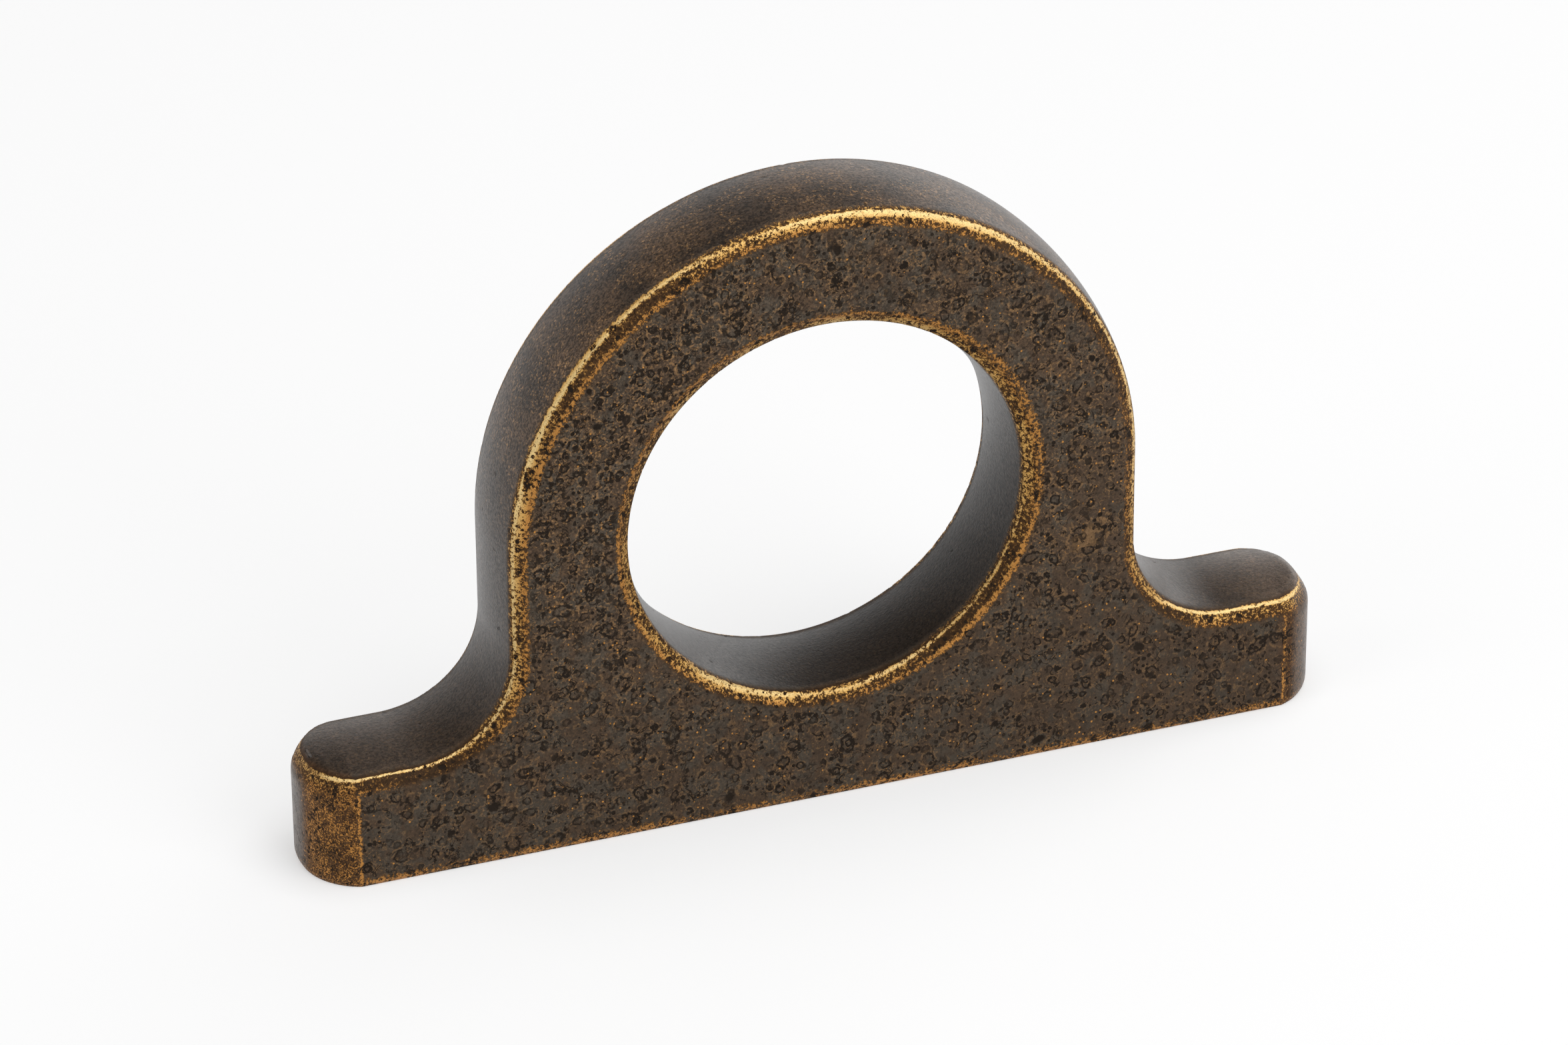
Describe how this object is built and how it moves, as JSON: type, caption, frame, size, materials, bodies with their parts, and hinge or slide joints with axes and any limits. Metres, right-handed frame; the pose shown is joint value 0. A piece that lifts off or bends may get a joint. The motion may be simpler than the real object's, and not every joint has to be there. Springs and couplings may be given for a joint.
{
  "type": "cabinet handle",
  "caption": "Cabinet handle cast in one piece: a round finger ring over a straight base bar with rounded feet, dark aged bronze with edges worn to gold.",
  "frame": {"origin": "middle of the flat base, the face that sits on the door or drawer", "axes": "+X along the handle, +Y through its thickness from the front face to the back face, +Z out from the door"},
  "size_m": [0.0806, 0.01, 0.0496],
  "materials": {
    "antique_bronze": "dark brown patina, pitted on the faces, with the bevelled edges rubbed back to gold"
  },
  "bodies": {
    "root": {"handle": "antique_bronze"}
  },
  "joints": []
}
